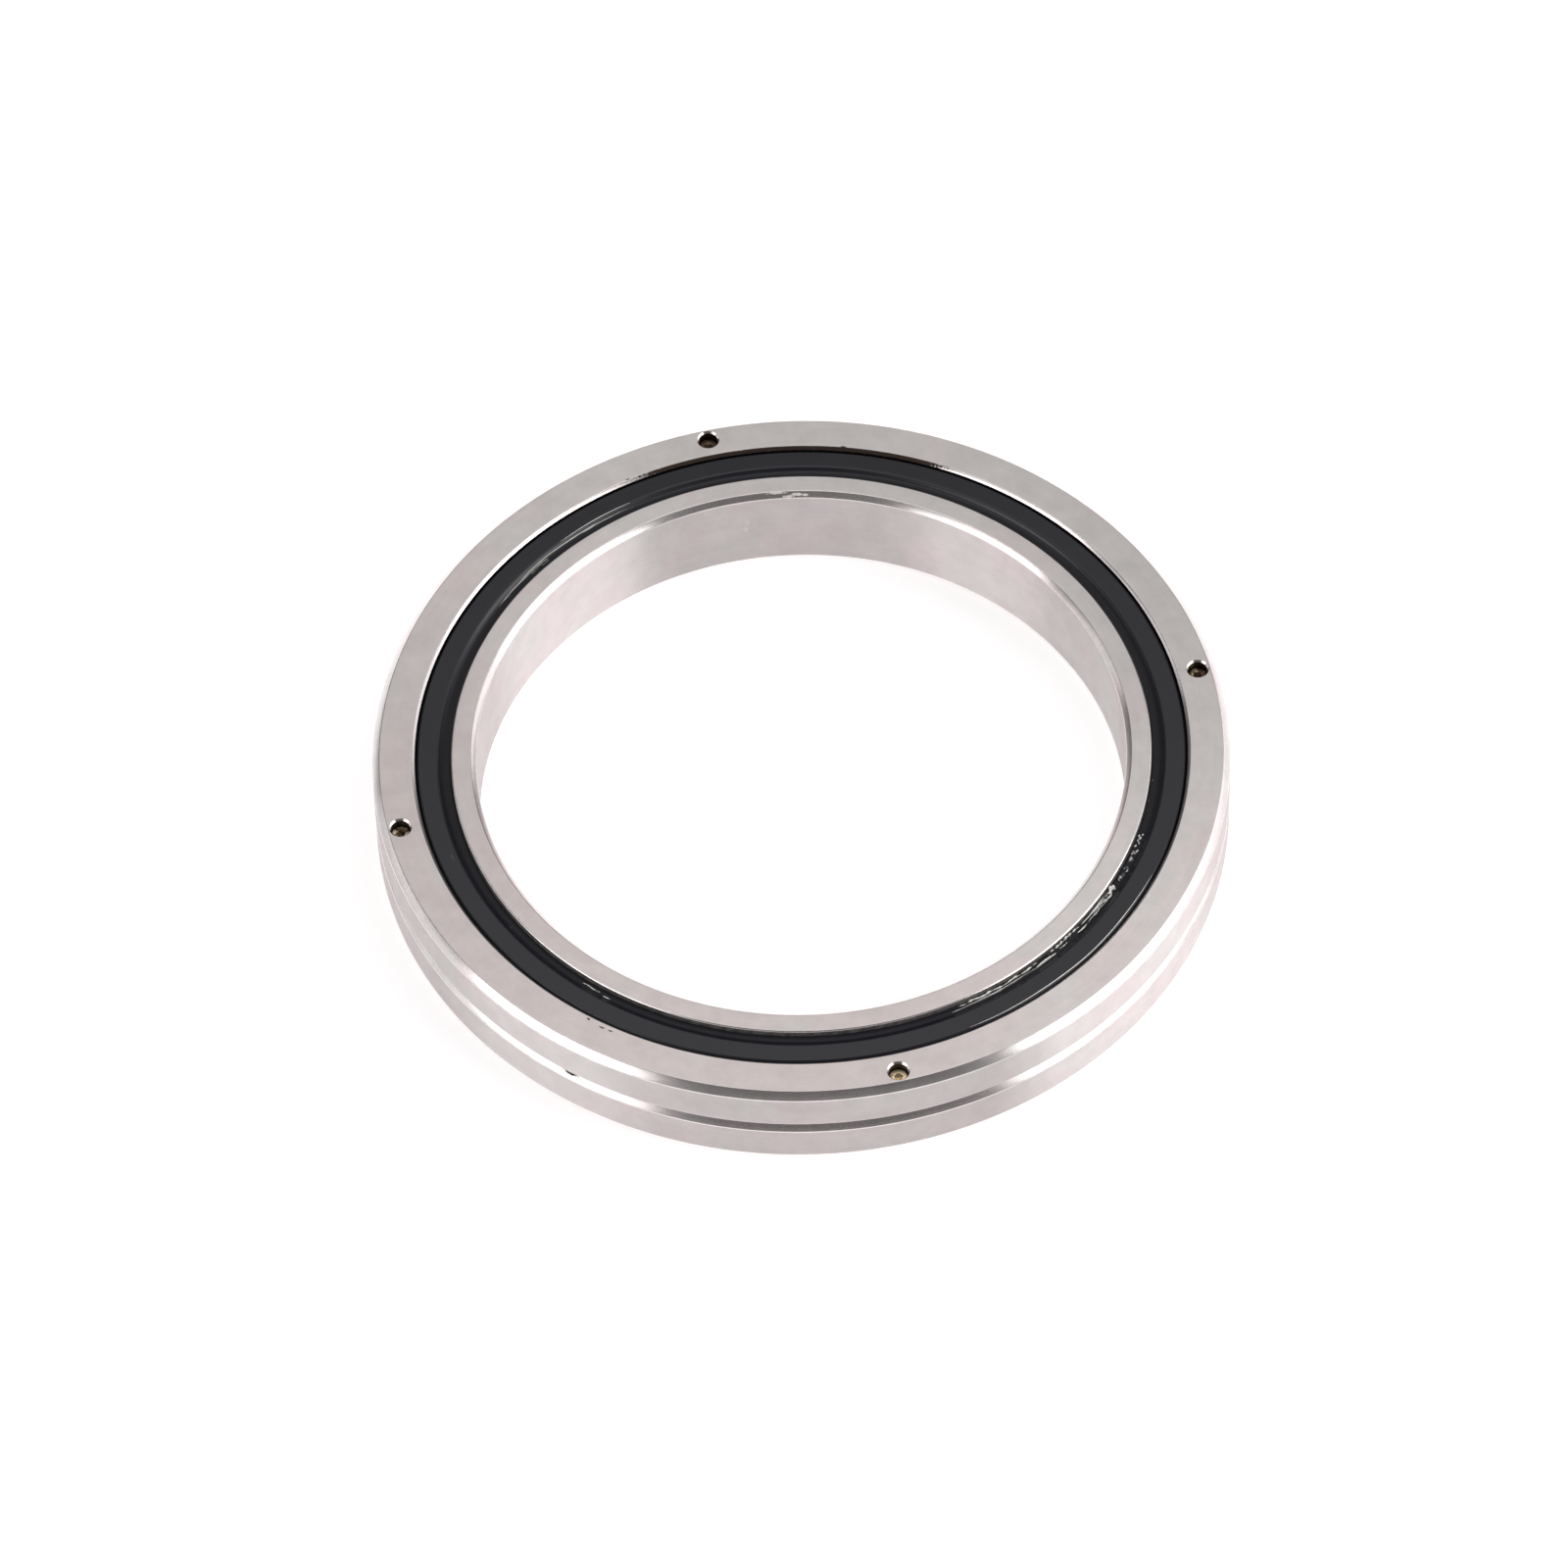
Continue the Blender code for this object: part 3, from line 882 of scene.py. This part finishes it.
def build_seals(skins):
    """Seals whose lip, up to the middle of the cove, takes the second skin."""
    upper = rounded(seal_profile())
    foot = STEP_RADIUS - STEP_RUN - COVE_RUN / 2
    for side, profile in (("upper", upper), ("lower", flipped(upper))):
        name = f"{side}_seal"
        item = add_object(name + "_fine", raised(turned(name + "_fine", profile)))
        for skin in skins:
            item.data.materials.append(skin)
        for polygon in item.data.polygons:
            polygon.material_index = int(polygon.center.xy.length < foot * MM)
        even_normals(item)
        place_piece(item, "outer_ring", "seal_rubber", name)


def build_rivets():
    for index, tarnish in enumerate(RIVET_TARNISH):
        name = f"rivet_{index + 1}"
        mesh = turned(name + "_fine", rivet_profile(), HOLE_SEGMENTS, closed=False)
        mesh.transform(Matrix.Translation(middle(name)))
        item = add_object(name + "_fine", mesh)
        item.data.materials.append(rivet_brass(name + "_brass", tarnish))
        even_normals(item)
        place_piece(item, "outer_ring", "rivet_brass", name)


def add_streak(bm, rng, start, end, radius, width, height, lumpiness=LUMPINESS):
    """Closed ridge along the seal for grease and painted highlights, tapered at both ends, between
    two azimuths.
    """
    base = HALF_WIDTH + (SEAL_TOP if radius > STEP_RADIUS else LIP_TOP)
    steps = max(FEWEST_STEPS, round((end - start) * STREAK_STEPS))
    waves = [(rng.uniform(*WAVE_RATES), rng.uniform(*WAVE_STARTS)) for wave in range(WAVE_COUNT)]
    sway_rate, sway_start = waves[0]
    sections = []
    for step in range(1, steps):
        t = step / steps
        angle = math.radians(start + (end - start) * t)
        lumps = sum(math.sin(rate * math.pi * t * 2 + phase) for rate, phase in waves)
        size = math.sin(math.pi * t) ** STREAK_TAPER * max(THINNEST_LUMP, 1.0 + lumpiness * lumps)
        around = Vector((math.cos(angle), math.sin(angle)))
        middle_radius = radius + STREAK_SWAY * width * math.sin(sway_rate * t * 2 + sway_start)
        section = []
        for side in range(STREAK_SIDES):
            turn = 2 * math.pi * side / STREAK_SIDES
            out = max(middle_radius + width / 2 * size * math.cos(turn), LIP_RADIUS)
            rise = base + height * size * math.sin(turn)
            section.append(bm.verts.new((*(around * out * MM), rise * MM)))
        sections.append(section)
    for before, after in zip(sections, sections[1:]):
        for side in range(STREAK_SIDES):
            other = (side + 1) % STREAK_SIDES
            bm.faces.new((before[side], after[side], after[other], before[other]))
    bm.faces.new(sections[0])
    bm.faces.new(reversed(sections[-1]))


def build_grease_and_glints(finish):
    """Streaks of grease pressed out over the upper seal's lip, and painted highlights on its rim
    and step.
    """
    rng = random.Random(GREASE_SEED)
    bm = bmesh.new()
    for streak in GREASE_STREAKS:
        add_streak(bm, rng, *streak)
    for line in GREASE_AND_GLINT_LINES:
        add_streak(bm, rng, *line, lumpiness=EVEN_LUMPINESS)
    for start, end, inner, outer, count, longest, width, standing in GREASE_PATCHES:
        for streak in range(count):
            length = longest * rng.uniform(*PATCH_LENGTHS)
            first = rng.uniform(start, end - length)
            radius = rng.uniform(inner, outer)
            breadth = width * rng.uniform(*PATCH_WIDTHS)
            height = breadth * standing * rng.uniform(*PATCH_HEIGHTS)
            add_streak(bm, rng, first, first + length, radius, breadth, height)
    bmesh.ops.recalc_face_normals(bm, faces=bm.faces)
    mesh = bpy.data.meshes.new("seal_grease_and_glints")
    bm.to_mesh(mesh)
    bm.free()
    mesh.shade_smooth()
    mesh.materials.append(finish)
    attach(add_object("seal_grease_and_glints", mesh), "outer_ring")


def roller_place(index):
    """Turn and move from the bearing's centre to one roller, tilted by turns."""
    tilt = ROLLER_TILT if index % 2 == 0 else -ROLLER_TILT
    height = Matrix.Translation((0.0, 0.0, HALF_WIDTH * MM))
    around = Matrix.Rotation(2 * math.pi * index / ROLLER_COUNT, 4, "Z")
    out = Matrix.Translation((PITCH_RADIUS * MM, 0.0, 0.0))
    return height @ around @ out @ Matrix.Rotation(tilt, 4, "Y")


def build_rollers(finish):
    for index in range(ROLLER_COUNT):
        name = f"roller_{index + 1:02d}"
        mesh = turned(name + "_fine", roller_profile(), ROLLER_SEGMENTS, closed=False)
        mesh.transform(roller_place(index))
        item = add_object(name + "_fine", mesh)
        item.data.materials.append(finish)
        even_normals(item)
        place_piece(item, name, "roller_steel", name)


# ---------------------------------------------------------------- studio and camera

# Camera: lens and distances in millimetres, with how far it stands to the left of the line to
# the middle of the upper faces and below it, and the near end of its view in metres
CAMERA_LENS = 234.2
CAMERA_DISTANCE = 784.0
CAMERA_ELEVATION = math.radians(52.694)
CAMERA_ROLL = math.radians(-1.704)
CAMERA_SIDE_STEP = 1.311
CAMERA_DROP = 2.782
CAMERA_NEAR_END = 0.01

# Floor: its radius in metres, the gap under the bearing in millimetres, and what it adds of its
# own light where the camera or a reflection sees it
FLOOR_RADIUS = 0.65
FLOOR_SEGMENTS = 96
FLOOR_GAP = 0.02
FLOOR_COLOUR = (0.80, 0.79, 0.79, 1.0)
FLOOR_ROUGHNESS = 0.9
FLOOR_SEEN = 0.45
FLOOR_MIRRORED = 0.94

# Light. Softboxes: azimuth and elevation in degrees, distance, width and height in metres, power
WHITE = (1.0, 1.0, 1.0, 1.0)
LIGHT_TINT = (1.0, 0.985, 0.98, 1.0)
ROOM_LIGHT = 0.16
SOFTBOXES = (
    ("left_softbox", -149.0, 27.0, 0.6, 0.42, 0.22, 1.08),
    ("right_softbox", -15.0, 26.0, 0.6, 0.54, 0.26, 2.05),
    ("right_rear_softbox", 26.0, 14.0, 0.6, 0.38, 0.22, 0.475),
    ("left_rear_softbox", 171.0, 14.0, 0.6, 0.44, 0.16, 0.28),
    ("front_strip", -90.0, 8.0, 0.6, 0.80, 0.16, 0.61),
)
OVERHEAD_SOFTBOX = ("overhead_softbox", 90.0, 90.0, 0.3, 0.50, 0.35, 0.71)
OVERHEAD_SHIFT = (0.06, 0.075)


def seen_directly(tree, *rays):
    """1 for a camera ray or one of the other kinds named."""
    path = tree.nodes.new("ShaderNodeLightPath")
    seen = path.outputs["Is Camera Ray"]
    for ray in rays:
        seen = calc(tree, "MAXIMUM", seen, path.outputs[ray])
    return seen


def build_world():
    """A dim even room that is white as a background."""
    world = bpy.data.worlds.new("studio")
    bpy.context.scene.world = world
    world.use_nodes = True
    tree = world.node_tree
    background = tree.nodes["Background"]
    seen = seen_directly(tree, "Is Transmission Ray")
    feed(tree, background.inputs["Color"], mix_colour(tree, seen, LIGHT_TINT, WHITE))
    feed(tree, background.inputs["Strength"], remap(tree, seen, 0.0, 1.0, ROOM_LIGHT, 1.0))


def build_floor():
    """Pale floor that shows as white where no shadow falls on it."""
    mesh = bpy.data.meshes.new("floor")
    bm = bmesh.new()
    bmesh.ops.create_circle(bm, cap_ends=True, segments=FLOOR_SEGMENTS, radius=FLOOR_RADIUS)
    bm.to_mesh(mesh)
    bm.free()
    floor = add_object("floor", mesh)
    floor.location.z = -FLOOR_GAP * MM
    material, tree, surface = new_material("floor_paper")
    surface.inputs["Base Color"].default_value = FLOOR_COLOUR
    surface.inputs["Roughness"].default_value = FLOOR_ROUGHNESS
    surface.inputs["Specular IOR Level"].default_value = 0.0
    surface.inputs["Emission Color"].default_value = WHITE
    path = tree.nodes.new("ShaderNodeLightPath")
    seen = calc(tree, "MULTIPLY", path.outputs["Is Camera Ray"], FLOOR_SEEN)
    mirrored_rays = calc(
        tree, "MAXIMUM", path.outputs["Is Glossy Ray"], path.outputs["Is Transmission Ray"]
    )
    lift = calc(tree, "MULTIPLY_ADD", mirrored_rays, FLOOR_MIRRORED, seen)
    feed(tree, surface.inputs["Emission Strength"], lift)
    mesh.materials.append(material)


def add_softbox(name, azimuth, elevation, distance, width, height, power):
    """Area lamp that faces the bearing from that direction."""
    lamp = bpy.data.lights.new(name, "AREA")
    lamp.shape = "RECTANGLE"
    lamp.size, lamp.size_y = width, height
    lamp.energy = power
    item = bpy.data.objects.new(name, lamp)
    item.visible_camera = False
    bpy.context.scene.collection.objects.link(item)
    a, e = math.radians(azimuth), math.radians(elevation)
    away = Vector((math.cos(a) * math.cos(e), math.sin(a) * math.cos(e), math.sin(e)))
    item.location = away * distance
    item.rotation_euler = away.to_track_quat("Z", "Y").to_euler()
    return item


def build_lamps():
    """Softboxes round the bearing, and one above it that hangs level and a little aside."""
    for softbox in SOFTBOXES:
        add_softbox(*softbox)
    overhead = add_softbox(*OVERHEAD_SOFTBOX)
    overhead.location.xy = OVERHEAD_SHIFT
    overhead.rotation_euler = (0.0, 0.0, 0.0)


def build_camera():
    """Camera at the place and roll that were fitted to the photo."""
    sine, cosine = math.sin(CAMERA_ELEVATION), math.cos(CAMERA_ELEVATION)
    back = Vector((0.0, -cosine, sine))
    right = Vector((1.0, 0.0, 0.0))
    up = Vector((0.0, sine, cosine))
    rolled_right = right * math.cos(CAMERA_ROLL) + up * math.sin(CAMERA_ROLL)
    rolled_up = up * math.cos(CAMERA_ROLL) - right * math.sin(CAMERA_ROLL)
    top_centre = Vector((0.0, 0.0, 2 * HALF_WIDTH))
    place = top_centre + back * CAMERA_DISTANCE
    place -= rolled_right * CAMERA_SIDE_STEP + rolled_up * CAMERA_DROP
    camera = bpy.data.objects.new("camera", bpy.data.cameras.new("camera"))
    bpy.context.scene.collection.objects.link(camera)
    camera.data.lens = CAMERA_LENS
    camera.data.clip_start = CAMERA_NEAR_END
    turn = Matrix((rolled_right, rolled_up, back)).transposed().to_4x4()
    camera.matrix_world = Matrix.Translation(place * MM) @ turn
    bpy.context.scene.camera = camera


# ---------------------------------------------------------------- assembly


def main():
    inner_finishes = (
        ground_steel("inner_ring_face", **FACE_FINISH, painted_warm_side=PAINTED_WARM_SIDE),
        ground_steel("inner_ring_wall", **WALL_FINISH, bright_marks=BORE_GLINTS),
        ground_steel("inner_ring_edge", **EDGE_FINISH, bright_marks=CHAMFER_STAINS),
        land_steel(),
    )
    outer_finishes = (
        ground_steel("outer_ring_face", **FACE_FINISH, painted_warm_side=PAINTED_WARM_SIDE, dark_marks=FACE_SPECKS),
        ground_steel("outer_ring_wall", **WALL_FINISH),
        ground_steel("outer_ring_edge", **EDGE_FINISH, dark_marks=EDGE_DASHES + POCKET_DARK_BAND),
        # Painted shade inside the holes and between the rings
        recess_shade_steel(),
        hole_edge_steel(),
    )
    skins = (seal_rubber("seal_band_skin", *BAND_SKIN), seal_rubber("seal_lip_skin", *LIP_SKIN))
    build_inner_ring(inner_finishes)
    build_outer_ring(outer_finishes)
    build_seals(skins)
    build_grease_and_glints(grease_and_glint_film())
    build_rivets()
    build_rollers(roller_steel())
    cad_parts["cage"].material_slots[0].material = cage_polymer()
    build_world()
    build_floor()
    build_lamps()
    build_camera()
    bpy.context.scene.view_settings.view_transform = "Standard"


main()
